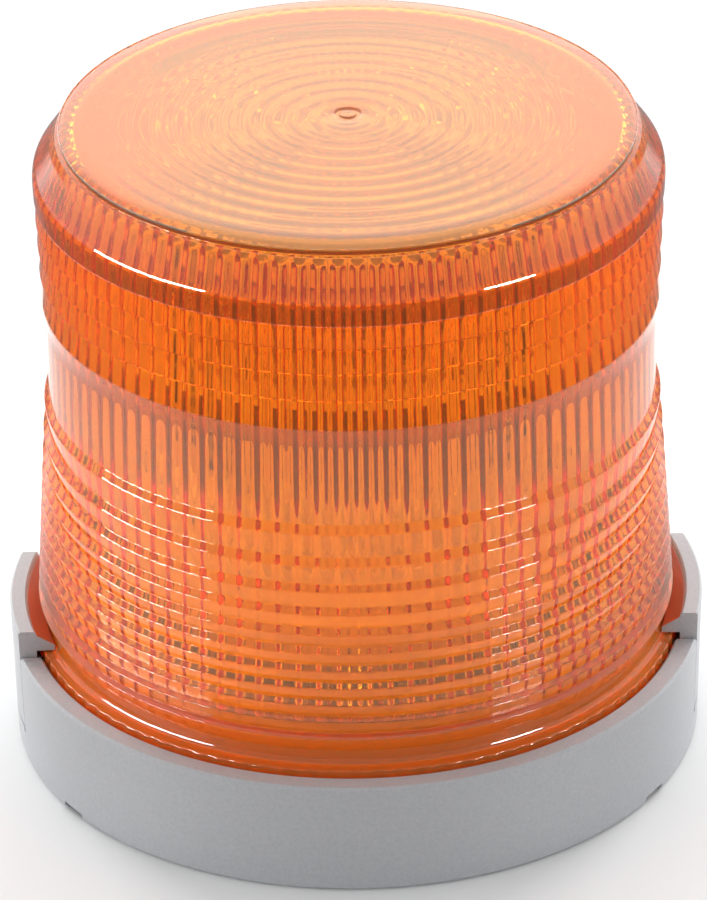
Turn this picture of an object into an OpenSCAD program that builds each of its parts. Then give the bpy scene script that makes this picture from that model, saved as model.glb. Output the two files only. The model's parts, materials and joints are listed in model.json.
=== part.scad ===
// Omnidirectional warning beacon: a moulded round base, a prismatic dome lens held by two
// spring latches, and a xenon flash unit inside.
// Millimetres. +Z is up, the origin is the centre of the bottom face, -Y is the front and the
// two latches are on the X axis.

/* [Base] */
// Outer radius of the base at its foot
base_r_foot = 66; // [64:0.5:70]
// Outer radius of the base and the latches at the latch tops
base_r_top = 66.6; // [66:0.1:71]
// Height of the base rim
rim_h = 22.5; // [21.5:0.5:23]
// Inner radius of the rim wall, outside the lens flange
rim_r_in = 62.3; // [62.2:0.1:62.8]
// Depth of the recess under the floor
recess_h = 1.5; // [1:0.25:2]
// Thickness of the floor
floor_t = 3; // [2:0.5:4]
// Radius of the conduit entry, the wall of a tapped half-inch pipe thread
conduit_r = 10; // [9.5:0.1:10.5]
// Diameter of the mounting screw circle
mount_pcd = 88.9; // [84:0.1:92]
// Radius of each mounting screw hole
mount_hole_r = 2.6; // [2.1:0.1:3]
// Half the angle between two drain notches on one side of the base
notch_angle = 33.5; // [28:0.5:40]

/* [Latches] */
// Width of a latch
latch_w = 31; // [24:1:36]
// Height of the latch tops
latch_h = 28; // [27.5:0.1:29]
// Inner radius of a latch
latch_r_in = 63.3; // [63:0.1:63.6]
// Radius that the hook's tip reaches in to
hook_tip_r = 59.9; // [59.8:0.1:60.2]
// Gap between a latch and the slot that it stands in
latch_gap = 0.3; // [0.25:0.05:0.5]
// Distance from the middle to the round foot that a latch turns on
pivot_x = 63.35; // [63.3:0.05:63.4]
// Height of the round foot
pivot_z = 6.5; // [6.5:0.25:8]
// Radius of the round foot
pivot_r = 1.1; // [1:0.05:1.2]

/* [Lens] */
// Height of the rim of the top disc
lens_top_z = 127; // [124:0.5:130]
// Radius of the top disc
disc_r = 53.5; // [52:0.25:54]
// Radius of the shoulder below the top disc
shoulder_r = 58.7; // [58:0.1:59.2]
// Radius of the waist
waist_r = 57.3; // [57:0.1:57.6]
// Radius of the lowest ring
skirt_r = 61.3; // [61:0.1:61.4]
// Radius of the flange that the hooks hold
flange_r = 62; // [61.8:0.05:62]
// Height of the flange's top face
flange_z = 23.5; // [23.3:0.05:23.6]
// Thickness of the lens wall
lens_wall = 2.5; // [2:0.25:3]
// Depth of the prism rings below the waist
low_step = 1.1; // [0.6:0.05:1.2]
// Depth of the prism rings above the waist
high_step = 0.8; // [0.4:0.05:1]

/* [Electronics] */
// Radius of the circuit board
board_r = 49; // [47:0.5:52]
// Height of the board's underside
board_z = 18; // [17:0.5:20]
// Radius of the circle of board screws
board_screw_r = 42; // [41:0.5:42.5]
// Outer radius of the insulating cover over the board
cover_r = 48.6; // [48:0.1:49]
// Height of the cover's top
cover_top_z = 47; // [46.5:0.1:48]
// Height of the middle of the light
light_z = 80; // [76:1:84]
// Outer radius of the flash tube's glass
tube_r = 2.5; // [2:0.25:3]
// Distance between the legs of the flash tube
leg_gap = 10; // [8:0.5:12]

/* [Hidden] */
$fn = 96;
eps = 0.01;

floor_z = recess_h + floor_t;
foot_r_in = 60;
seat_r_in = 56;
seat_r_out = 59.6;
spigot_r_in = 54.4;
spigot_r_out = 56.4;
spigot_top_z = 26.2;
gasket_t = 2.5;
flange_t = 2.6;
gasket_z = flange_z - flange_t - gasket_t;
hub_r = 15;
hub_h = 14;
notch_w = 6;
latch_foot_clear = 0.6;
neck_r = 59.5;
neck_wall_r = 57;
ring_floor_z = 26.5;
waist_low_z = 73;
waist_high_z = 92.5;
shoulder_z = 117.8;
disc_wall_h = 1.8;
first_head_z = 71.25;
low_rings = 11;
high_rings = 5;
board_t = 1.6;
board_top = board_z + board_t;
screw_angles = [22.5, 157.5, 202.5, 337.5];
cover_wall = 1.6;
cover_foot_t = 1.4;
socket_h = 14;
base_plug_h = 15;
tube_base_r = 14.5;
plug_z = board_top + socket_h;
neck_z = plug_z + base_plug_h;
tube_z = neck_z + 8;
tube_straight_top = light_z + 12;
pin_circle_r = 8;
pin_angles = [45 : 90 : 315];
pin_l = 12.9;
plug_pin_l = 10;
terminal_r = 32;
terminal_pitch = 7;
terminal_ways = [-1, 0, 1];
fuse_angle = 50;
fuse_at_r = 37;
fuse_lift = 4.6;
fuse_len = 20;
fuse_cap_l = 5;
lead_r = 0.4;
beyond = 80;

// Radius of the outer wall at height z
function wall_r(z) = base_r_foot + (base_r_top - base_r_foot) * z / latch_h;

// Places children at a polar position on the circuit board, with +X pointing outward
module on_board(angle, r) {
    rotate([0, 0, angle]) translate([r, 0, board_top]) children();
}

module ring(r_out, r_in, z, h) {
    translate([0, 0, z]) difference() {
        cylinder(r = r_out, h = h);
        translate([0, 0, -1]) cylinder(r = r_in, h = h + 2);
    }
}

// The strip |y| < w / 2 on the side of +X
module latch_strip(w, z, h) {
    inner = 50;
    translate([inner, -w / 2, z]) cube([beyond - inner, w, h]);
}

module drain_notches() {
    for (side = [0, 180], a = [-notch_angle, notch_angle])
        rotate([0, 0, side + a]) latch_strip(notch_w, -1, 1 + recess_h);
}

module mount_holes(r, z, h) {
    for (a = [0, 90, 180, 270])
        rotate([0, 0, a]) translate([mount_pcd / 2, 0, z]) cylinder(r = r, h = h, $fn = 48);
}

// The slot in the wall for one latch, with a round seat for its foot
module latch_slot() {
    slot_w = latch_w + 2 * latch_gap;
    seat_clear = 0.06;
    intersection() {
        ring(r_out = beyond, r_in = rim_r_in - latch_gap, z = pivot_z, h = latch_h);
        latch_strip(slot_w, pivot_z, latch_h);
    }
    translate([pivot_x, 0, pivot_z]) rotate([90, 0, 0])
        cylinder(r = pivot_r + seat_clear, h = slot_w, center = true, $fn = 48);
}

// Floor, wall, seat for the lens gasket, the spigot that centres the lens, and the conduit hub
module base_housing() {
    edge = 0.7;
    rim_edge = 0.5;
    color([0.72, 0.72, 0.73]) difference() {
        union() {
            rotate_extrude($fn = 180) polygon([
                [foot_r_in, 0],
                [base_r_foot - edge, 0],
                [wall_r(edge), edge],
                [wall_r(rim_h - rim_edge), rim_h - rim_edge],
                [wall_r(rim_h) - rim_edge, rim_h],
                [rim_r_in + rim_edge, rim_h],
                [rim_r_in, rim_h - rim_edge],
                [rim_r_in, floor_z],
                [0, floor_z],
                [0, recess_h],
                [foot_r_in, recess_h]
            ]);
            ring(r_out = seat_r_out, r_in = spigot_r_in, z = floor_z - eps, h = gasket_z - floor_z + eps);
            ring(r_out = spigot_r_out, r_in = spigot_r_in,
                z = floor_z - eps, h = spigot_top_z - floor_z + eps);
            translate([0, 0, recess_h]) cylinder(r = hub_r, h = hub_h - recess_h);
        }
        translate([0, 0, -1]) cylinder(r = conduit_r, h = hub_h + 2);
        mount_holes(mount_hole_r, -1, floor_z + 2);
        drain_notches();
        latch_slot();
        mirror([1, 0, 0]) latch_slot();
    }
}

// One spring latch on the side of +X: a curved tongue, its hook and its round foot
module latch() {
    z0 = pivot_z + latch_foot_clear;
    tip_h = 1.2;
    color([0.74, 0.73, 0.74]) union() {
        intersection() {
            rotate_extrude($fn = 180) polygon([
                [latch_r_in, z0],
                [wall_r(z0), z0],
                [wall_r(latch_h - 0.4), latch_h - 0.4],
                [wall_r(latch_h) - 0.4, latch_h],
                [latch_r_in + 0.4, latch_h],
                [latch_r_in, latch_h - 0.4],
                [latch_r_in, latch_h - 0.8],
                [hook_tip_r, flange_z + 0.4 + tip_h],
                [hook_tip_r, flange_z + 0.4],
                [latch_r_in, flange_z + 0.35]
            ]);
            latch_strip(latch_w, 0, latch_h + 5);
        }
        translate([pivot_x, 0, pivot_z]) rotate([90, 0, 0])
            cylinder(r = pivot_r, h = latch_w, center = true, $fn = 48);
    }
}

module right_latch() { latch(); }

module left_latch() { mirror([1, 0, 0]) latch(); }

// Outer radius of the ring edges below the waist
function low_r(z) = skirt_r - 0.067 * (z - ring_floor_z);
// Height of ring edge i below the waist: the rings get narrower away from the lamp
function low_head(i) = first_head_z - 3.3 * i - 8.5 * (1 - exp(-i / 2.2));
// Height of the sloped tread above ring edge i
function low_tread(i) = 1.5 - 0.09 * i;
// Outer radius of the ring edges above the waist
function high_r(z) = 58 + (shoulder_r - 58) * (z - waist_high_z) / (shoulder_z - waist_high_z);
// Ring edges above the waist come closer together towards the shoulder
function high_foot(i) = waist_high_z + (shoulder_z - waist_high_z)
    * (1.2 * i / high_rings - 0.2 * pow(i / high_rings, 2));

// The outside of the neck under the rings, from the flange's foot upward
function flange_points(seat_z) = [
    [neck_wall_r, seat_z],
    [flange_r, seat_z],
    [flange_r, flange_z],
    [neck_r + 0.6, flange_z],
    [neck_r, flange_z + 0.8],
    [neck_r, ring_floor_z]
];

// The shoulder, the disc's rim and the crown, from the last ring to the middle of the underside
function top_points() = [
    [shoulder_r, shoulder_z - 0.8],
    [shoulder_r - 0.2, shoulder_z + 0.9],
    [disc_r + 1.6, lens_top_z - disc_wall_h - 1.9],
    [disc_r + 0.7, lens_top_z - disc_wall_h],
    [disc_r, lens_top_z - disc_wall_h + 0.2],
    [disc_r, lens_top_z - 0.6],
    [disc_r - 0.6, lens_top_z],
    [0, lens_top_z + 0.8],
    [0, lens_top_z - lens_wall]
];

// The drafted inner wall, from the underside of the disc down to the neck
function inner_points() = [
    [disc_r - 3, lens_top_z - lens_wall],
    [disc_r - 1, lens_top_z - lens_wall - 2],
    [waist_r - lens_wall - 1, waist_high_z],
    [waist_r - lens_wall, waist_low_z + 4],
    [neck_wall_r - 0.4, ring_floor_z + 8],
    [neck_wall_r, ring_floor_z]
];

module lens() {
    low_rows = [for (i = [low_rings - 1 : -1 : 0], end = [0, 1])
        end == 0 ? [low_r(low_head(i)), low_head(i)]
            : [i == 0 ? waist_r : low_r(low_head(i)) - low_step, low_head(i) + low_tread(i)]];
    high_rows = [for (i = [0 : high_rings - 1], end = [0, 1]) if (i < high_rings - 1 || end == 0)
        end == 0 ? [high_r(high_foot(i)), high_foot(i)]
            : [high_r(high_foot(i + 1)) - high_step, high_foot(i + 1) - 0.1]];
    color([0.96, 0.55, 0.1, 0.75]) rotate_extrude($fn = 180) polygon(concat(
        flange_points(flange_z - flange_t),
        low_rows,
        [[waist_r, waist_high_z - 3.5]],
        high_rows,
        top_points(),
        inner_points()
    ));
}

module lens_gasket() {
    color([0.55, 0.55, 0.54])
        ring(r_out = seat_r_out - 0.3, r_in = seat_r_in + 0.6, z = gasket_z, h = gasket_t);
}

module mounting_gasket() {
    color([0.1, 0.1, 0.1]) difference() {
        ring(r_out = foot_r_in - 0.5, r_in = hub_r, z = 0.3, h = recess_h - 0.3);
        mount_holes(mount_hole_r + 0.4, -1, 5);
    }
}

module circuit_board() {
    screw_hole_r = 1.7;
    access_r = 5.5;
    wire_hole_r = 4.5;
    wire_hole_y = 21;
    color([0.1, 0.35, 0.2]) difference() {
        translate([0, 0, board_z]) cylinder(r = board_r, h = board_t);
        for (a = screw_angles)
            rotate([0, 0, a]) translate([board_screw_r, 0, board_z - 1])
                cylinder(r = screw_hole_r, h = board_t + 2, $fn = 32);
        mount_holes(access_r, board_z - 1, board_t + 2);
        translate([0, wire_hole_y, board_z - 1]) cylinder(r = wire_hole_r, h = board_t + 2, $fn = 32);
    }
}

module board_standoffs() {
    across = 6;
    thread_r = 1.55;
    color([0.78, 0.62, 0.3]) for (a = screw_angles)
        rotate([0, 0, a]) translate([board_screw_r, 0, floor_z]) difference() {
            cylinder(r = across / sqrt(3), h = board_z - floor_z, $fn = 6);
            translate([0, 0, 4]) cylinder(r = thread_r, h = board_z, $fn = 32);
        }
}

// Screws through the foot of the cover's wells and the board into the standoffs
module board_screws() {
    head_h = 2;
    shank_l = 9;
    cross_w = 0.6;
    cross_l = 3.2;
    cross_deep = 0.9;
    color([0.75, 0.75, 0.77]) for (a = screw_angles)
        rotate([0, 0, a]) translate([board_screw_r, 0, board_top + cover_foot_t]) difference() {
            union() {
                cylinder(r1 = 2.8, r2 = 2.3, h = head_h, $fn = 48);
                translate([0, 0, -shank_l]) cylinder(r = 1.5, h = shank_l + eps, $fn = 32);
            }
            for (turn = [0, 90]) rotate([0, 0, turn])
                translate([-cross_l / 2, -cross_w / 2, head_h - cross_deep]) cube([cross_l, cross_w, 2]);
        }
}

// White cup over the live parts, with a collar round the tube's base and a well for each board screw
module board_cover() {
    corner = 4;
    collar_r = tube_base_r + 0.8;
    collar_h = 1.8;
    well_r = 3.4;
    well_wall = 2;
    inner_r = cover_r - cover_wall;
    inner_corner = corner - cover_wall;
    ceiling_z = cover_top_z - cover_wall;
    outer_arc = [for (a = [0 : 15 : 90])
        [cover_r - corner + corner * cos(a), cover_top_z - corner + corner * sin(a)]];
    inner_arc = [for (a = [90 : -15 : 0])
        [inner_r - inner_corner + inner_corner * cos(a), ceiling_z - inner_corner + inner_corner * sin(a)]];
    color([0.93, 0.93, 0.91]) difference() {
        union() {
            rotate_extrude($fn = 144) polygon(concat(
                [[inner_r, board_top], [cover_r, board_top]],
                outer_arc,
                [[collar_r + cover_wall, cover_top_z], [collar_r + cover_wall, cover_top_z + collar_h],
                    [collar_r, cover_top_z + collar_h], [collar_r, ceiling_z]],
                inner_arc
            ));
            for (a = screw_angles) rotate([0, 0, a]) translate([board_screw_r, 0, board_top])
                cylinder(r = well_r + well_wall, h = ceiling_z + eps - board_top, $fn = 48);
        }
        for (a = screw_angles) rotate([0, 0, a]) translate([board_screw_r, 0, board_top]) {
            translate([0, 0, -1]) cylinder(r = 1.6, h = cover_foot_t + 2, $fn = 32);
            translate([0, 0, cover_foot_t]) cylinder(r = well_r, h = cover_top_z, $fn = 48);
        }
    }
}

module terminal_block() {
    w = 22;
    depth = 11;
    color([0.15, 0.4, 0.25]) on_board(90, terminal_r) difference() {
        union() {
            translate([-depth / 2, -w / 2, 0]) cube([depth, w, 9]);
            translate([-depth / 2, -w / 2, 0]) cube([depth - 3, w, 12]);
        }
        for (i = terminal_ways) translate([-1, i * terminal_pitch, 0]) {
            translate([0, 0, 6]) cylinder(r = 2.2, h = 8, $fn = 32);
            translate([0, -2, 1.5]) cube([20, 4, 3.6]);
        }
    }
}

module terminal_screws() {
    color([0.8, 0.8, 0.82]) on_board(90, terminal_r) for (i = terminal_ways)
        translate([-1, i * terminal_pitch, 6.3]) difference() {
            cylinder(r = 1.95, h = 4.2, $fn = 32);
            translate([-2.5, -0.35, 3.2]) cube([5, 0.7, 3]);
        }
}

// One U-shaped clip standing on the board, its channel running along Y
module fuse_clip(y) {
    translate([0, y, 0]) difference() {
        union() {
            translate([-3.1, -2, 0]) cube([6.2, 4, 3]);
            translate([0, 0, fuse_lift]) rotate([90, 0, 0]) cylinder(r = 3.3, h = 4, center = true, $fn = 48);
        }
        translate([0, 0, fuse_lift]) rotate([90, 0, 0]) cylinder(r = 2.75, h = 6, center = true, $fn = 48);
        translate([-2.1, -3, fuse_lift + 1.4]) cube([4.2, 6, 6]);
    }
}

module fuse_clips() {
    color([0.8, 0.65, 0.3]) on_board(fuse_angle, fuse_at_r) {
        fuse_clip(-(fuse_len - fuse_cap_l) / 2);
        fuse_clip((fuse_len - fuse_cap_l) / 2);
    }
}

module fuse_glass() {
    color([0.85, 0.9, 0.9, 0.5]) on_board(fuse_angle, fuse_at_r) translate([0, 0, fuse_lift])
        rotate([90, 0, 0]) difference() {
            cylinder(r = 2.3, h = fuse_len - 2 * fuse_cap_l, center = true, $fn = 48);
            cylinder(r = 1.7, h = fuse_len, center = true, $fn = 48);
        }
}

module fuse_caps() {
    color([0.8, 0.8, 0.82]) on_board(fuse_angle, fuse_at_r) translate([0, 0, fuse_lift])
        for (side = [-1, 1]) translate([0, side * (fuse_len - fuse_cap_l) / 2, 0])
            rotate([90, 0, 0]) cylinder(r = 2.65, h = fuse_cap_l, center = true, $fn = 48);
}

module storage_capacitors() {
    r = 8;
    h = 25;
    color([0.13, 0.16, 0.3]) for (a = [232, 308]) on_board(a, 35)
        rotate_extrude($fn = 72) polygon([
            [0, 0],
            [r - 0.5, 0],
            [r, 0.6],
            [r, 2],
            [r - 0.5, 2.7],
            [r - 0.5, 3.3],
            [r, 4],
            [r, h - 0.6],
            [r - 0.6, h],
            [r - 1.6, h],
            [r - 1.8, h - 0.4],
            [0, h - 0.4]
        ]);
}

module film_capacitor() {
    w = 13;
    color([0.75, 0.2, 0.12]) on_board(130, 36) hull() {
        translate([-2.75, -w / 2, 0]) cube([5.5, w, 10]);
        translate([-2.25, -w / 2 + 0.5, 0]) cube([4.5, w - 1, 10.6]);
    }
}

module trigger_coil_bobbin() {
    color([0.85, 0.83, 0.75]) on_board(180, 28) difference() {
        union() {
            cylinder(r = 6.5, h = 1.4);
            translate([0, 0, 12.6]) cylinder(r = 6.5, h = 1.4);
            cylinder(r = 3, h = 14);
        }
        translate([0, 0, -1]) cylinder(r = 1.5, h = 20, $fn = 32);
    }
}

module trigger_coil() {
    color([0.7, 0.38, 0.18]) on_board(180, 28)
        translate([0, 0, 1.45]) difference() {
            cylinder(r = 5.8, h = 11.1);
            translate([0, 0, -1]) cylinder(r = 3.1, h = 20);
        }
}

module choke_core() {
    color([0.2, 0.2, 0.21]) on_board(0, 29) union() {
        cylinder(r = 7, h = 2);
        translate([0, 0, 13]) cylinder(r = 7, h = 2);
        cylinder(r = 3.5, h = 15);
    }
}

module choke_winding() {
    color([0.72, 0.4, 0.2]) on_board(0, 29) translate([0, 0, 2.05]) difference() {
        cylinder(r = 6.2, h = 10.9);
        translate([0, 0, -1]) cylinder(r = 3.6, h = 20);
    }
}

module power_resistors() {
    color([0.9, 0.89, 0.86]) for (r = [25.5, 34.5]) on_board(270, r) difference() {
        translate([-3.25, -11, 0]) cube([6.5, 22, 7.5]);
        translate([-1.8, -9.5, 7]) cube([3.6, 19, 1]);
    }
}

module diodes() {
    body_z = 1.6;
    reach = 3.4;
    color([0.1, 0.1, 0.11]) for (a = [30 : 9 : 57]) on_board(a, 23.5) union() {
        translate([0, 0, body_z]) rotate([0, 90, 0]) cylinder(r = 1.35, h = 5.2, center = true, $fn = 32);
        for (side = [-1, 1]) translate([side * reach, 0, 0]) {
            cylinder(r = lead_r, h = body_z, $fn = 24);
            translate([0, 0, body_z]) sphere(r = lead_r, $fn = 24);
            translate([-side * 1.5, 0, body_z]) rotate([0, 90, 0])
                cylinder(r = lead_r, h = 3, center = true, $fn = 24);
        }
    }
}

module surge_suppressor() {
    color([0.15, 0.3, 0.6]) on_board(125, 24.5) union() {
        translate([0, 0, 7]) rotate([0, 90, 0]) cylinder(r = 5, h = 3.6, center = true);
        for (side = [-1, 1]) translate([0, side * 3.5, 0]) cylinder(r = lead_r, h = 5, $fn = 24);
    }
}

module tube_socket() {
    color([0.14, 0.13, 0.13]) translate([0, 0, board_top]) difference() {
        union() {
            cylinder(r = 15, h = 2.5);
            cylinder(r = 13, h = socket_h);
        }
        for (a = pin_angles) rotate([0, 0, a]) translate([pin_circle_r, 0, 2])
            cylinder(r = 1.25, h = socket_h, $fn = 32);
        translate([0, 0, 2]) cylinder(r = 3.5, h = socket_h, $fn = 48);
    }
}

module tube_base() {
    leg_x = leg_gap / 2;
    color([0.88, 0.87, 0.83]) difference() {
        union() {
            translate([0, 0, plug_z]) rotate_extrude() polygon([
                [0, 0],
                [tube_base_r - 0.5, 0],
                [tube_base_r, 0.6],
                [tube_base_r, base_plug_h - 1],
                [tube_base_r - 1, base_plug_h],
                [0, base_plug_h]
            ]);
            translate([0, 0, neck_z - eps]) cylinder(r1 = 11, r2 = 10.4, h = tube_z - neck_z + eps);
            translate([0, 0, plug_z - plug_pin_l]) cylinder(r = 3.2, h = plug_pin_l + eps, $fn = 48);
        }
        for (side = [-1, 1]) translate([0, side * leg_x, tube_z - 4])
            cylinder(r = tube_r + 0.1, h = 10, $fn = 48);
        for (a = pin_angles) rotate([0, 0, a]) translate([pin_circle_r, 0, plug_z - 1])
            cylinder(r = 1.15, h = 4, $fn = 32);
    }
}

module tube_pins() {
    color([0.8, 0.68, 0.4]) for (a = pin_angles)
        rotate([0, 0, a]) translate([pin_circle_r, 0, plug_z - plug_pin_l]) union() {
            cylinder(r = 1.1, h = pin_l, $fn = 32);
            sphere(r = 1.1, $fn = 32);
        }
}

// The bent tube as a solid of radius r: two legs along Z joined by a half turn
module u_tube(r, z0) {
    leg_x = leg_gap / 2;
    for (side = [-1, 1]) translate([0, side * leg_x, z0])
        cylinder(r = r, h = tube_straight_top - z0, $fn = 48);
    translate([0, 0, tube_straight_top]) rotate([90, 0, 90])
        rotate_extrude(angle = 180, $fn = 96) translate([leg_x, 0]) circle(r = r, $fn = 48);
}

module flash_tube() {
    color([0.9, 0.93, 0.95, 0.45]) difference() {
        u_tube(tube_r, tube_z - 3.9);
        u_tube(tube_r - 0.7, tube_z - 2);
    }
}

module tube_electrodes() {
    stem_h = 10;
    color([0.35, 0.35, 0.36]) for (side = [-1, 1]) translate([0, side * leg_gap / 2, tube_z - 1.9]) union() {
        cylinder(r = 0.6, h = stem_h, $fn = 32);
        translate([0, 0, stem_h - eps]) cylinder(r = 1.3, h = 4, $fn = 32);
    }
}

module trigger_wire() {
    wire_r = 0.35;
    loop_r = tube_r + 0.1 + wire_r;
    wound_h = 32;
    color([0.6, 0.6, 0.62]) for (side = [-1, 1]) translate([0, side * leg_gap / 2, 0]) union() {
        for (z = [tube_z + 8 : 6 : tube_z + wound_h])
            translate([0, 0, z]) rotate_extrude($fn = 48) translate([loop_r, 0]) circle(r = wire_r, $fn = 24);
        translate([0, side * (loop_r + 0.3), tube_z + 0.02])
            cylinder(r = wire_r, h = wound_h, $fn = 24);
    }
}

base_housing();
left_latch();
right_latch();
lens();
lens_gasket();
mounting_gasket();
circuit_board();
board_standoffs();
board_screws();
board_cover();
terminal_block();
terminal_screws();
fuse_clips();
fuse_glass();
fuse_caps();
storage_capacitors();
film_capacitor();
trigger_coil();
trigger_coil_bobbin();
choke_core();
choke_winding();
power_resistors();
diodes();
surge_suppressor();
tube_socket();
tube_base();
tube_pins();
flash_tube();
tube_electrodes();
trigger_wire();
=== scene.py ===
"""Looks for the warning beacon: lens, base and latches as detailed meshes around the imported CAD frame."""

import json
import math

import bmesh
import bpy
import numpy as np
from mathutils import Matrix, Vector


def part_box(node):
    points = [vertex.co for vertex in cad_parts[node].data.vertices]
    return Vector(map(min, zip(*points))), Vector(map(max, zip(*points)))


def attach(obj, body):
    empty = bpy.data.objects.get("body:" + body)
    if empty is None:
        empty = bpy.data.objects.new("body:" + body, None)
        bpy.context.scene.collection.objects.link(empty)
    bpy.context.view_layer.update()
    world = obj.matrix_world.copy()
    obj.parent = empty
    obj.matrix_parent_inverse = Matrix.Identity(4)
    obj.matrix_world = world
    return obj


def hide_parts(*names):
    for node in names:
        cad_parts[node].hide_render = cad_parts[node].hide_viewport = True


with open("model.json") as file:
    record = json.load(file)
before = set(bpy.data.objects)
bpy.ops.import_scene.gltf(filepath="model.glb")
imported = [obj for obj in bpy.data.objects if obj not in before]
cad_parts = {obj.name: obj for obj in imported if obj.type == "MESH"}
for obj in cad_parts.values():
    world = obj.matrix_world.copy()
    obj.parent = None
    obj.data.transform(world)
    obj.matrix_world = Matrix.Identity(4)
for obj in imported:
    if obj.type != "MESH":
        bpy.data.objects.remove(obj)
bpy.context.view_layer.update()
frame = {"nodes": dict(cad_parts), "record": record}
MM = 0.001


# ---------------------------------------------------------------- camera, lights and floor

def make_camera():
    """A long lens looking down at the front, slightly rolled and slightly to one side."""
    distance = 0.9784
    height = 0.5922
    pitch = math.radians(28.68)
    roll = math.radians(-0.99)
    turn = math.radians(-1.35)
    forward = Vector((0, math.cos(pitch), -math.sin(pitch)))
    level = Vector((1, 0, 0))
    upright = level.cross(forward)
    right = level * math.cos(roll) + upright * math.sin(roll)
    up = upright * math.cos(roll) - level * math.sin(roll)
    axes = Matrix((right, up, -forward)).transposed()
    data = bpy.data.cameras.new("camera")
    data.sensor_width = 36
    data.lens = 234.4
    data.clip_start = 0.01
    camera = bpy.data.objects.new("camera", data)
    bpy.context.scene.collection.objects.link(camera)
    place = Matrix.Translation((0, -distance, height)) @ axes.to_4x4()
    camera.matrix_world = Matrix.Rotation(turn, 4, "Z") @ place
    bpy.context.scene.camera = camera


def make_area_light(name, place, target, size, power, highlight):
    """A highlight light only shows mirrored in a surface. The others only light matt walls and shine through
    the lens."""
    data = bpy.data.lights.new(name, "AREA")
    data.shape = "RECTANGLE"
    data.size, data.size_y = size
    data.energy = power
    light = bpy.data.objects.new(name, data)
    bpy.context.scene.collection.objects.link(light)
    light.location = place
    light.rotation_euler = (Vector(target) - Vector(place)).to_track_quat("-Z", "Y").to_euler()
    light.visible_glossy = highlight
    light.visible_diffuse = not highlight
    light.visible_transmission = not highlight


def make_world():
    """A studio: bright behind and above, dim in front and below the table top, and plain white to the eye."""
    world = bpy.data.worlds.new("studio")
    bpy.context.scene.world = world
    world.use_nodes = True
    nodes, links = world.node_tree.nodes, world.node_tree.links
    coordinates = nodes.new("ShaderNodeTexCoord")
    axes = nodes.new("ShaderNodeSeparateXYZ")
    links.new(coordinates.outputs["Generated"], axes.inputs["Vector"])

    floor_glow = 0.15
    seen_white = 1.05

    def fade(axis, start, end, low, high):
        ramp = nodes.new("ShaderNodeMapRange")
        ramp.interpolation_type = "SMOOTHSTEP"
        for name, value in (("From Min", start), ("From Max", end), ("To Min", low), ("To Max", high)):
            ramp.inputs[name].default_value = value
        links.new(axes.outputs[axis], ramp.inputs["Value"])
        return ramp.outputs["Result"]

    walls = nodes.new("ShaderNodeMath")
    walls.operation = "ADD"
    links.new(fade("Y", -0.7, 0.2, 0.55, 1.3), walls.inputs[0])
    links.new(fade("Y", 0.7, 0.85, 0.0, 0.9), walls.inputs[1])
    light = nodes.new("ShaderNodeMath")
    light.operation = "MULTIPLY"
    links.new(walls.outputs["Value"], light.inputs[0])
    links.new(fade("Z", -0.15, 0.0, floor_glow, 1.0), light.inputs[1])
    seen = nodes.new("ShaderNodeLightPath")
    choice = nodes.new("ShaderNodeMix")
    links.new(seen.outputs["Is Camera Ray"], choice.inputs["Factor"])
    links.new(light.outputs["Value"], choice.inputs["A"])
    choice.inputs["B"].default_value = seen_white
    links.new(choice.outputs["Result"], nodes["Background"].inputs["Strength"])
    nodes["Background"].inputs["Color"].default_value = (1, 1, 1, 1)


def make_lighting():
    make_world()
    middle = (0, 0, 0.06)
    make_area_light("edge_left", (-1.1, -0.3, 0.12), middle, (1.0, 0.16), 34.0, True)
    make_area_light("edge_right", (0.95, -0.7, 0.12), middle, (0.4, 0.16), 15.0, True)
    make_area_light("bright_left", (-0.7, 1.0, 0.35), middle, (0.5, 0.5), 14.0, False)
    make_area_light("bright_right", (0.75, 0.95, 0.35), middle, (0.5, 0.5), 14.0, False)
    scene = bpy.context.scene
    scene.cycles.max_bounces = 32
    scene.cycles.transmission_bounces = 32
    scene.cycles.glossy_bounces = 8
    scene.cycles.diffuse_bounces = 6


def make_floor():
    """A pale round table top, small enough that only the dome's lower part mirrors it."""
    table_r = 0.222
    bm = bmesh.new()
    bmesh.ops.create_circle(bm, cap_ends=True, segments=128, radius=table_r)
    data = bpy.data.meshes.new("floor")
    bm.to_mesh(data)
    bm.free()
    floor = bpy.data.objects.new("floor", data)
    bpy.context.scene.collection.objects.link(floor)
    material, shader = new_material("floor_white")[:2]
    shader.inputs["Base Color"].default_value = (0.78, 0.78, 0.78, 1)
    shader.inputs["Roughness"].default_value = 0.6
    data.materials.append(material)


# ---------------------------------------------------------------- materials

def new_material(name):
    material = bpy.data.materials.new(name)
    material.use_nodes = True
    nodes = material.node_tree.nodes
    links = material.node_tree.links
    return material, nodes["Principled BSDF"], nodes, links


def noise(nodes, links, scale, detail=3.0, roughness=0.55):
    """Noise over the object's own metres."""
    coordinates = nodes.new("ShaderNodeTexCoord")
    texture = nodes.new("ShaderNodeTexNoise")
    texture.inputs["Scale"].default_value = scale
    texture.inputs["Detail"].default_value = detail
    texture.inputs["Roughness"].default_value = roughness
    links.new(coordinates.outputs["Object"], texture.inputs["Vector"])
    return texture


def color_ramp(nodes, links, source, stops):
    """Stops are (position, color)."""
    ramp = nodes.new("ShaderNodeValToRGB")
    elements = ramp.color_ramp.elements
    while len(elements) < len(stops):
        elements.new(0.5)
    for element, (position, color) in zip(elements, stops):
        element.position = position
        element.color = (*color, 1)
    links.new(source, ramp.inputs["Fac"])
    return ramp


def add_bump(nodes, links, shader, source, strength, distance):
    """Surface relief from a height, distance metres deep at full strength."""
    bump = nodes.new("ShaderNodeBump")
    bump.inputs["Strength"].default_value = strength
    bump.inputs["Distance"].default_value = distance
    links.new(source, bump.inputs["Height"])
    links.new(bump.outputs["Normal"], shader.inputs["Normal"])


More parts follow.
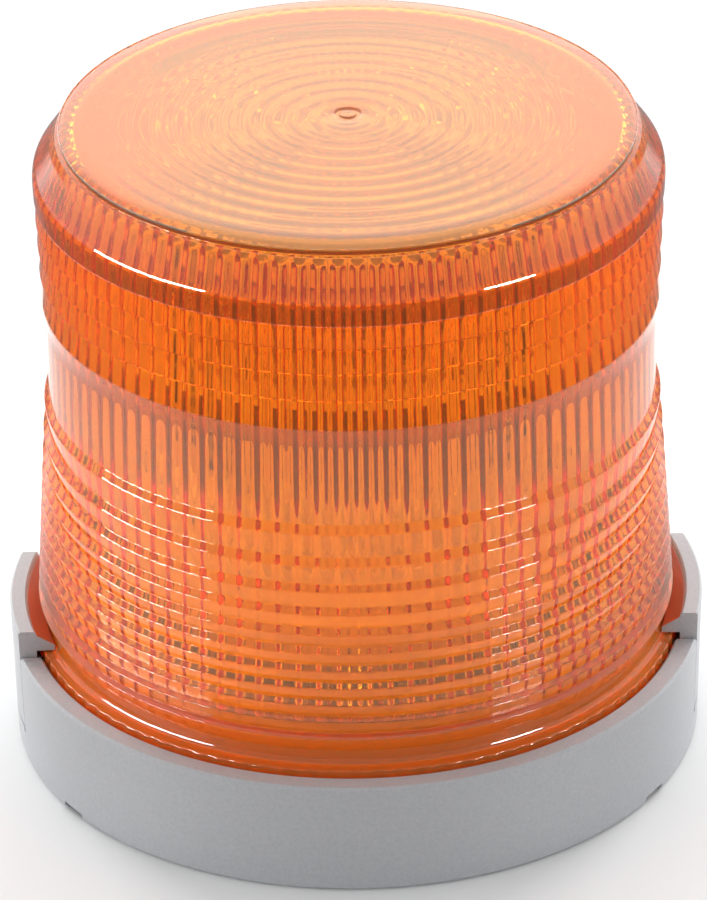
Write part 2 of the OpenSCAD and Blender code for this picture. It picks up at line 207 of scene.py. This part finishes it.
def mottled(name, dark, light, roughness, scale=900.0, bump=0.15, metallic=0.0, rough_spread=0.08):
    """A solid material whose colour, roughness and surface vary finely, as moulded or machined stock does."""
    material, shader, nodes, links = new_material(name)
    grain = noise(nodes, links, scale)
    ramp = color_ramp(nodes, links, grain.outputs["Fac"], [(0.3, dark), (0.7, light)])
    links.new(ramp.outputs["Color"], shader.inputs["Base Color"])
    spread = nodes.new("ShaderNodeMapRange")
    spread.inputs["To Min"].default_value = roughness - rough_spread
    spread.inputs["To Max"].default_value = roughness + rough_spread
    links.new(grain.outputs["Fac"], spread.inputs["Value"])
    links.new(spread.outputs["Result"], shader.inputs["Roughness"])
    shader.inputs["Metallic"].default_value = metallic
    if bump:
        add_bump(nodes, links, shader, grain.outputs["Fac"], bump, 0.1 * MM)
    return material


def see_through(name, color, roughness, ior):
    """Clear glass with faint streaks."""
    material, shader, nodes, links = new_material(name)
    streaks = noise(nodes, links, 60.0)
    shade = tuple(c * 0.96 for c in color)
    ramp = color_ramp(nodes, links, streaks.outputs["Fac"], [(0.35, shade), (0.65, color)])
    links.new(ramp.outputs["Color"], shader.inputs["Base Color"])
    shader.inputs["Roughness"].default_value = roughness
    shader.inputs["IOR"].default_value = ior
    shader.inputs["Transmission Weight"].default_value = 1.0
    return material


def deep_tint(name, tints, clearness, absorbed, roughness, ior):
    """Clear plastic tinted through its depth: light that runs a long way inside the wall comes out darker and
    redder. absorbed is how much each colour loses per metre. tints and clearness are (height, value) pairs:
    the foot and the top disc are made milkier than the wall between them, and the foot a deeper orange."""
    material, shader, nodes, links = new_material(name)
    coordinates = nodes.new("ShaderNodeTexCoord")
    axes = nodes.new("ShaderNodeSeparateXYZ")
    links.new(coordinates.outputs["Object"], axes.inputs["Vector"])
    height = nodes.new("ShaderNodeMapRange")
    height.inputs["From Max"].default_value = TOP_Z * MM
    links.new(axes.outputs["Z"], height.inputs["Value"])
    tint = color_ramp(nodes, links, height.outputs["Result"], [(z / TOP_Z, color) for z, color in tints])
    links.new(tint.outputs["Color"], shader.inputs["Base Color"])
    clear = color_ramp(nodes, links, height.outputs["Result"],
                       [(z / TOP_Z, (share, share, share)) for z, share in clearness])
    links.new(clear.outputs["Color"], shader.inputs["Transmission Weight"])
    shader.inputs["Roughness"].default_value = roughness
    shader.inputs["IOR"].default_value = ior
    shader.inputs["Specular IOR Level"].default_value = 0.35
    waviness = noise(nodes, links, 250.0)
    add_bump(nodes, links, shader, waviness.outputs["Fac"], 0.02, 0.5 * MM)
    depth = nodes.new("ShaderNodeVolumeAbsorption")
    density = max(absorbed)
    depth.inputs["Density"].default_value = density
    depth.inputs["Color"].default_value = (*(1 - a / density for a in absorbed), 1)
    links.new(depth.outputs["Volume"], nodes["Material Output"].inputs["Volume"])
    return material


def color_socket(sockets, name):
    """The colour socket of a Mix node, which has one of each name for every type of data."""
    return next(socket for socket in sockets if socket.name == name and socket.type == "RGBA")


def latch_moulding_amber_light(name):
    """The housing's plastic, with painted light on the hook's ramp: a red-brown that stands in for the amber
    light falling through the lens onto it. The ramp is the part of the latch that faces up and lies within
    ramp_r of the lamp's axis."""
    ramp_r = 63.15 * MM
    soft_r = 0.1 * MM
    # The red-brown below is painted light, standing in for the amber light that falls through the lens onto
    # the ramp.
    amber_light_color = (0.42, 0.085, 0.03, 1)
    least_facing, full_facing = 0.3, 0.5
    material = mottled(name, *STOCK["grey_moulding"])
    nodes, links = material.node_tree.nodes, material.node_tree.links
    shader = nodes["Principled BSDF"]
    plain = shader.inputs["Base Color"].links[0].from_socket
    coordinates = nodes.new("ShaderNodeTexCoord")
    axes = nodes.new("ShaderNodeSeparateXYZ")
    links.new(coordinates.outputs["Object"], axes.inputs["Vector"])
    flat = nodes.new("ShaderNodeCombineXYZ")
    links.new(axes.outputs["X"], flat.inputs["X"])
    links.new(axes.outputs["Y"], flat.inputs["Y"])
    reach = nodes.new("ShaderNodeVectorMath")
    reach.operation = "LENGTH"
    links.new(flat.outputs["Vector"], reach.inputs[0])
    surface = nodes.new("ShaderNodeNewGeometry")
    facing = nodes.new("ShaderNodeSeparateXYZ")
    links.new(surface.outputs["Normal"], facing.inputs["Vector"])

    def between(source, start, end):
        """0 at start, 1 at end."""
        ramp = nodes.new("ShaderNodeMapRange")
        ramp.inputs["From Min"].default_value = start
        ramp.inputs["From Max"].default_value = end
        links.new(source, ramp.inputs["Value"])
        return ramp.outputs["Result"]

    # Where the painted amber light goes: the upward-facing part of the latch within ramp_r of the axis.
    share = nodes.new("ShaderNodeMath")
    share.operation = "MULTIPLY"
    links.new(between(reach.outputs["Value"], ramp_r + soft_r, ramp_r - soft_r), share.inputs[0])
    links.new(between(facing.outputs["Z"], least_facing, full_facing), share.inputs[1])
    mix = nodes.new("ShaderNodeMix")
    mix.data_type = "RGBA"
    links.new(share.outputs["Value"], mix.inputs["Factor"])
    links.new(plain, color_socket(mix.inputs, "A"))
    color_socket(mix.inputs, "B").default_value = amber_light_color
    links.new(color_socket(mix.outputs, "Result"), shader.inputs["Base Color"])
    return material


# Opaque stock: dark and light colour, roughness, scale of the grain, bump, and 1.0 last where it is metal.
STOCK = {
    "grey_moulding": ((0.39, 0.40, 0.42), (0.44, 0.45, 0.465), 0.42, 1400, 0.12),
    "black_rubber": ((0.012, 0.012, 0.012), (0.03, 0.03, 0.03), 0.75, 1200, 0.3),
    "grey_silicone": ((0.56, 0.56, 0.55), (0.64, 0.64, 0.63), 0.6, 1200, 0.2),
    "board_laminate": ((0.02, 0.12, 0.05), (0.03, 0.17, 0.07), 0.35, 400, 0.05),
    "brass_fittings": ((0.62, 0.43, 0.16), (0.78, 0.58, 0.27), 0.3, 500, 0.05, 1.0),
    "steel_screws": ((0.55, 0.55, 0.57), (0.72, 0.72, 0.73), 0.32, 700, 0.06, 1.0),
    "white_moulding": ((0.80, 0.80, 0.78), (0.86, 0.86, 0.84), 0.45, 900, 0.08),
    "terminal_plastic": ((0.02, 0.17, 0.06), (0.03, 0.22, 0.08), 0.45, 800, 0.1),
    "plated_caps": ((0.6, 0.6, 0.62), (0.8, 0.8, 0.81), 0.18, 500, 0.03, 1.0),
    "capacitor_sleeve": ((0.012, 0.02, 0.07), (0.02, 0.03, 0.1), 0.25, 300, 0.04),
    "film_epoxy": ((0.4, 0.03, 0.015), (0.5, 0.05, 0.02), 0.3, 300, 0.1),
    "copper_wire": ((0.6, 0.2, 0.07), (0.8, 0.32, 0.12), 0.3, 700, 0.1, 1.0),
    "bobbin_plastic": ((0.6, 0.55, 0.4), (0.68, 0.63, 0.48), 0.6, 500, 0.1),
    "ferrite": ((0.02, 0.02, 0.022), (0.05, 0.05, 0.052), 0.55, 1500, 0.3),
    "white_ceramic": ((0.72, 0.71, 0.66), (0.82, 0.81, 0.77), 0.7, 900, 0.25),
    "diode_black": ((0.012, 0.012, 0.012), (0.03, 0.03, 0.03), 0.4, 900, 0.1),
    "blue_epoxy": ((0.01, 0.05, 0.28), (0.02, 0.08, 0.38), 0.28, 350, 0.1),
    "socket_plastic": ((0.015, 0.013, 0.013), (0.03, 0.027, 0.027), 0.45, 800, 0.1),
    "tube_ceramic": ((0.74, 0.72, 0.65), (0.83, 0.81, 0.75), 0.6, 700, 0.12),
    "electrode_metal": ((0.1, 0.1, 0.105), (0.2, 0.2, 0.2), 0.4, 900, 0.1, 1.0),
    "nickel_wire": ((0.4, 0.4, 0.41), (0.55, 0.55, 0.56), 0.3, 900, 0.05, 1.0),
}


def amber(name):
    """The lens's plastic. Its foot and its top disc are set apart from the wall between them."""
    foot_z = RING_FLOOR_Z + 2
    wall_low_z = RING_FLOOR_Z + 4
    wall_high_z = TOP_Z - 3
    disc_z = TOP_Z - 1
    tints = [(foot_z, (1.0, 0.36, 0.04)), (wall_low_z, (1.0, 0.72, 0.20))]
    clearness = [(foot_z, 0.68), (wall_low_z, 0.93), (wall_high_z, 0.93), (disc_z, 0.85)]
    return deep_tint(name, tints, clearness, absorbed=(6.0, 110.0, 480.0), roughness=0.03, ior=1.585)


def make_materials():
    materials = {name: mottled(name, *settings) for name, settings in STOCK.items()}
    materials["latch_moulding_amber_light"] = latch_moulding_amber_light("latch_moulding_amber_light")
    materials["amber_lens"] = amber("amber_lens")
    materials["clear_glass"] = see_through("clear_glass", (0.97, 0.99, 1.0), 0.01, 1.47)
    return materials


# ---------------------------------------------------------------- mesh helpers

def new_piece(name, vertices, faces, material, body, sharp_angle):
    """A closed mesh with its faces outward, riding on a body. Vertices are in metres."""
    data = bpy.data.meshes.new(name)
    data.from_pydata([tuple(v) for v in vertices], [], faces)
    data.validate()
    bm = bmesh.new()
    bm.from_mesh(data)
    bmesh.ops.remove_doubles(bm, verts=bm.verts, dist=1e-7)
    if bm.calc_volume(signed=True) < 0:
        bmesh.ops.reverse_faces(bm, faces=bm.faces)
    bm.to_mesh(data)
    bm.free()
    smooth_by_angle(data, sharp_angle)
    return place_piece(name, data, material, body)


def place_piece(name, data, material, body):
    """An object for a mesh, with normals that keep its flat faces flat beside rounded edges."""
    piece = bpy.data.objects.new(name, data)
    bpy.context.scene.collection.objects.link(piece)
    even = piece.modifiers.new("flat_faces_stay_flat", "WEIGHTED_NORMAL")
    even.keep_sharp = True
    even.weight = 100
    data.materials.append(material)
    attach(piece, body)
    return piece


def smooth_by_angle(data, degrees):
    """Smooth shading, but for edges sharper than an angle."""
    data.polygons.foreach_set("use_smooth", [True] * len(data.polygons))
    data.set_sharp_from_angle(angle=math.radians(degrees))


def revolve(rows, segments):
    """Vertices and faces of a closed ring round the axis. rows are (radius, height) pairs; the last joins the
    first."""
    angles = np.linspace(0, 2 * np.pi, segments, endpoint=False)
    points = [np.stack([r * np.cos(angles), r * np.sin(angles), np.full(segments, z)], 1) for r, z in rows]
    faces = []
    for k in range(len(rows)):
        following = (k + 1) % len(rows)
        for s in range(segments):
            t = (s + 1) % segments
            faces.append((
                k * segments + s, k * segments + t, following * segments + t, following * segments + s))
    return np.concatenate(points), faces


def rounded(points, radii):
    """A profile whose corners are arcs: points are (r, z), radii are the corner radii."""
    steps = 3
    most_of_a_side = 0.49
    result = []
    count = len(points)
    for i, (point, radius) in enumerate(zip(points, radii)):
        corner = Vector(point)
        if radius <= 0:
            result.append(tuple(corner))
            continue
        before = Vector(points[i - 1]) - corner
        after = Vector(points[(i + 1) % count]) - corner
        reach = min(radius, before.length * most_of_a_side, after.length * most_of_a_side)
        start = corner + before.normalized() * reach
        end = corner + after.normalized() * reach
        for k in range(steps + 1):
            t = k / steps
            result.append(tuple(start * (1 - t) ** 2 + corner * 2 * t * (1 - t) + end * t ** 2))
    return result


# ---------------------------------------------------------------- the lens

LENS_LOW, LENS_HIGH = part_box("lens")
FLANGE_R = LENS_HIGH.x / MM
GASKET_GAP = 0.03
CROWN_RISE = 0.8
SEAT_Z = LENS_LOW.z / MM + GASKET_GAP
TOP_Z = LENS_HIGH.z / MM - CROWN_RISE
FLANGE_Z = SEAT_Z + 2.6
NECK_R = 59.5
NECK_IN_R = 57.0
RING_FLOOR_Z = 26.5
FIRST_HEAD_Z = 71.25
WAIST_R = 57.3
WAIST_LOW_Z = 73.0
WAIST_HIGH_Z = 92.5
SHOULDER_Z = 117.8
SHOULDER_R = 58.7
SKIRT_R = 61.3
DISC_R = 53.5
DISC_EDGE = 1.8
LENS_WALL = 2.5
LOW_RINGS = 11
HIGH_RINGS = 5
FLUTES = 96
OUTER_SEGMENTS = FLUTES * 6
INNER_SEGMENTS = FLUTES * 18


def low_radius(z):
    """Radius of the ring edges below the waist."""
    return SKIRT_R - 0.067 * (z - RING_FLOOR_Z)


def low_head(i):
    """Height of ring edge i below the waist: the rings get narrower away from the lamp."""
    return FIRST_HEAD_Z - 3.3 * i - 8.5 * (1 - math.exp(-i / 2.2))


def high_radius(z):
    """Radius of the ring edges above the waist."""
    return 58 + (SHOULDER_R - 58) * (z - WAIST_HIGH_Z) / (SHOULDER_Z - WAIST_HIGH_Z)


def high_foot(i):
    """Height of ring edge i above the waist."""
    t = i / HIGH_RINGS
    return WAIST_HIGH_Z + (SHOULDER_Z - WAIST_HIGH_Z) * (1.2 * t - 0.2 * t * t)


def lens_outline():
    """The outside of the lens from the flange's foot to the disc's rim: (radius, height, corner radius)."""
    crisp = 0.3
    low_depth = 1.1
    high_depth = 1.0
    outline = [
        (FLANGE_R, SEAT_Z, 0.2), (FLANGE_R, FLANGE_Z, 0.35),
        (NECK_R, FLANGE_Z, 1.2), (NECK_R, RING_FLOOR_Z, 0.15)]
    for i in range(LOW_RINGS - 1, -1, -1):
        head = low_head(i)
        tread = 1.5 - 0.09 * i
        outline.append((low_radius(head), head, crisp))
        inset = WAIST_R if i == 0 else low_radius(head) - low_depth
        outline.append((inset, head + tread, 0.15))
    outline.append((WAIST_R, WAIST_HIGH_Z - 3.5, 1.5))
    for i in range(HIGH_RINGS):
        foot, head = high_foot(i), high_foot(i + 1)
        outline.append((high_radius(foot), foot, 0.35))
        if i < HIGH_RINGS - 1:
            outline.append((high_radius(head) - high_depth, head - 0.1, crisp))
    outline += [
        (SHOULDER_R, SHOULDER_Z - 0.8, 0.8), (SHOULDER_R - 0.2, SHOULDER_Z + 0.9, 1.0),
        (DISC_R + 1.6, TOP_Z - DISC_EDGE - 1.9, 0.3), (DISC_R + 0.7, TOP_Z - DISC_EDGE, 0.15),
        (DISC_R, TOP_Z - DISC_EDGE + 0.2, 0.1), (DISC_R, TOP_Z, 0.9)]
    return outline


def lens_crown():
    """The crowned top face with its moulding mark, from the rim to the middle."""
    rows = []
    for r in np.linspace(DISC_R - 1.2, 3.0, 14):
        rows.append((r, TOP_Z + CROWN_RISE * (1 - (r / DISC_R) ** 2)))
    top = TOP_Z + CROWN_RISE
    groove = 0.3
    rows += [
        (2.6, top - 0.05), (2.3, top - groove), (1.7, top - groove), (1.4, top - 0.05),
        (0.8, top - 0.02), (0.0, top - 0.02)]
    return rows


def lens_underside():
    """The shallow prism rings under the top, from the middle to the inner wall."""
    rings = 12
    ceiling = TOP_Z - LENS_WALL
    ripple = 0.05
    edge = DISC_R - 3.0
    first = 1.5
    steps = 6
    rows = [(0.0, ceiling)]
    for i in range(rings * steps):
        turn = 2 * math.pi * i / steps
        rows.append((first + (edge - first) * i / (rings * steps), ceiling + ripple * (1 - math.cos(turn))))
    rows.append((edge, ceiling))
    return rows


def lens_inner_wall():
    """The inner wall from the shoulder down to the flange's foot, and how deep the flutes are in each row."""
    return [
        (DISC_R - 2.4, TOP_Z - LENS_WALL - 0.3, 0.0),
        (DISC_R - 1.4, TOP_Z - LENS_WALL - 1.4, 0.6),
        (DISC_R - 1.0, TOP_Z - LENS_WALL - 2.2, 1.0),
        (WAIST_R - LENS_WALL - 1.0, WAIST_HIGH_Z, 1.0),
        (WAIST_R - LENS_WALL, WAIST_LOW_Z + 4, 1.0),
        (WAIST_R - LENS_WALL, WAIST_LOW_Z - 1, 0.6),
        (NECK_IN_R - 0.4, RING_FLOOR_Z + 8, 0.3),
        (NECK_IN_R, RING_FLOOR_Z + 2.0, 0.3),
        (NECK_IN_R, RING_FLOOR_Z + 0.5, 0.0),
        (NECK_IN_R, RING_FLOOR_Z - 2.0, 0.0),
        (NECK_IN_R, SEAT_Z, 0.0)]


def bridge(lower, upper):
    """Faces between two closed rows of vertices, the second with a whole number of times as many."""
    share = len(upper) // len(lower)
    faces = []
    for s, corner in enumerate(lower):
        following = lower[(s + 1) % len(lower)]
        fan = [upper[(s * share + k) % len(upper)] for k in range(share + 1)]
        for k in range(share // 2):
            faces.append((corner, fan[k + 1], fan[k]))
        for k in range(share // 2, share):
            faces.append((following, fan[k + 1], fan[k]))
        faces.append((corner, following, fan[share // 2]))
    return faces


def ring_surface(rows, segments, radius_at):
    """Vertices and faces of an open surface of revolution. radius_at(row, angles) gives a row's radii."""
    angles = np.linspace(0, 2 * np.pi, segments, endpoint=False)
    points = []
    for k, row in enumerate(rows):
        radii = radius_at(k, angles)
        heights = np.full(segments, row[1])
        points.append(np.stack([radii * np.cos(angles), radii * np.sin(angles), heights], 1))
    faces = []
    for k in range(len(rows) - 1):
        for s in range(segments):
            t = (s + 1) % segments
            faces.append((k * segments + s, k * segments + t, (k + 1) * segments + t, (k + 1) * segments + s))
    return np.concatenate(points), faces


def make_lens(material):
    """The dome in one closed mesh: a shell of the outside and the ceiling, and a finely fluted inner wall."""
    outline = lens_outline()
    outside = rounded([p[:2] for p in outline], [p[2] for p in outline])
    shell = outside + lens_crown() + lens_underside()
    wall = lens_inner_wall()
    flute_depth = 1.1
    knurl_depth = 0.35

    def shell_radius(k, angles):
        r, z = shell[k]
        knurled = r > FLANGE_R - 0.25 and SEAT_Z + 0.1 < z < FLANGE_Z - 0.02
        return r - (knurl_depth * (0.5 - 0.5 * np.cos(FLUTES * angles)) if knurled else 0) + 0 * angles

    def wall_radius(k, angles):
        return wall[k][0] - flute_depth * wall[k][2] * (0.5 - 0.5 * np.cos(FLUTES * angles))

    shell_points, shell_faces = ring_surface(shell, OUTER_SEGMENTS, shell_radius)
    wall_points, wall_faces = ring_surface(wall, INNER_SEGMENTS, wall_radius)
    shift = len(shell_points)
    faces = shell_faces + [tuple(v + shift for v in face) for face in wall_faces]
    foot = list(range(OUTER_SEGMENTS))
    wall_foot = [shift + (len(wall) - 1) * INNER_SEGMENTS + s for s in range(INNER_SEGMENTS)]
    under = [(len(shell) - 1) * OUTER_SEGMENTS + s for s in range(OUTER_SEGMENTS)]
    wall_head = [shift + s for s in range(INNER_SEGMENTS)]
    faces += [tuple(reversed(face)) for face in bridge(foot, wall_foot)]
    faces += bridge(under, wall_head)
    vertices = np.concatenate([shell_points, wall_points]) * MM
    lens = new_piece("lens_dome", vertices, faces, material, "base", 35)
    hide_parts("lens")


# ---------------------------------------------------------------- CAD shapes with softened edges

SOFT_EDGES = {
    "base_housing": 0.4, "left_latch": 0.35, "right_latch": 0.35, "lens_gasket": 0.3, "mounting_gasket": 0.2,
    "circuit_board": 0.12, "board_standoffs": 0.2, "board_screws": 0.12, "board_cover": 0.25,
    "terminal_block": 0.3, "terminal_screws": 0.15, "fuse_clips": 0.12, "fuse_caps": 0.2,
    "power_resistors": 0.4, "tube_socket": 0.35, "choke_core": 0.3, "trigger_coil_bobbin": 0.2}


def soften(name, width, material, body):
    """The node's own shape with its edges rounded, standing in for the node."""
    least_edge = math.radians(30)
    bm = bmesh.new()
    bm.from_mesh(frame["nodes"][name].data)
    bmesh.ops.remove_doubles(bm, verts=bm.verts, dist=1e-6)
    bmesh.ops.dissolve_limit(bm, angle_limit=math.radians(0.5), verts=bm.verts, edges=bm.edges)
    edges = [e for e in bm.edges if len(e.link_faces) == 2 and e.calc_face_angle(0.0) > least_edge]
    bmesh.ops.bevel(
        bm, geom=edges, offset=width * MM, offset_type="OFFSET", segments=3, profile=0.5,
        affect="EDGES", clamp_overlap=True)
    bmesh.ops.triangulate(bm, faces=[f for f in bm.faces if len(f.verts) > 4])
    data = bpy.data.meshes.new(name + "_soft")
    bm.to_mesh(data)
    bm.free()
    data.validate()
    smooth_by_angle(data, 40)
    piece = place_piece(name + "_soft", data, material, body)
    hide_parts(name)


WIRE_RADII = {"trigger_coil": 0.15, "choke_winding": 0.35}


def wound_coil(name, wire_r, material, body):
    """Close turns of wire, as stacked rings, in place of the node's plain upright winding."""
    core_share = 0.6
    points_a_turn = 5
    low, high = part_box(name)
    centre = (low + high) / 2
    r_out = (high.x - low.x) / 2 / MM
    bottom, top = low.z / MM, high.z / MM
    turns = int((top - bottom) / (2 * wire_r))
    pitch = (top - bottom) / turns
    rows = []
    for i in range(turns * points_a_turn):
        swing = math.pi * (i % points_a_turn + 0.5) / points_a_turn
        height = bottom + pitch * (i // points_a_turn + 0.5 - 0.5 * math.cos(swing))
        rows.append((r_out - wire_r * (1 - math.sin(swing)), height))
    rows += [(r_out * core_share, top), (r_out * core_share, bottom)]
    segments = 64
    vertices, faces = revolve(rows, segments)
    vertices[:, 0] += centre.x / MM
    vertices[:, 1] += centre.y / MM
    coil = new_piece(name + "_turns", vertices * MM, faces, material, body, 60)
    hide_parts(name)


def dress_cad_nodes(materials):
    """Every node gets its slot's material, and the crisp ones get rounded edges."""
    slots = {row["node"]: row["material_slot"] for row in frame["record"]["subparts"]}
    bodies = {node: body for body, held in frame["record"]["behaviour"]["bodies"].items() for node in held}
    for name, node in frame["nodes"].items():
        node.data.materials.clear()
        node.data.materials.append(materials[slots[name]])
        smooth_by_angle(node.data, 30)
        if name in SOFT_EDGES:
            # The latches take the moulding with painted amber light on the hook's ramp.
            finish = "latch_moulding_amber_light" if name.endswith("latch") else slots[name]
            soften(name, SOFT_EDGES[name], materials[finish], bodies[name])
        if name in WIRE_RADII:
            wound_coil(name, WIRE_RADII[name], materials[slots[name]], bodies[name])


make_camera()
make_lighting()
make_floor()
MATERIALS = make_materials()
dress_cad_nodes(MATERIALS)
make_lens(MATERIALS["amber_lens"])

bpy.context.scene.view_settings.view_transform = "Standard"
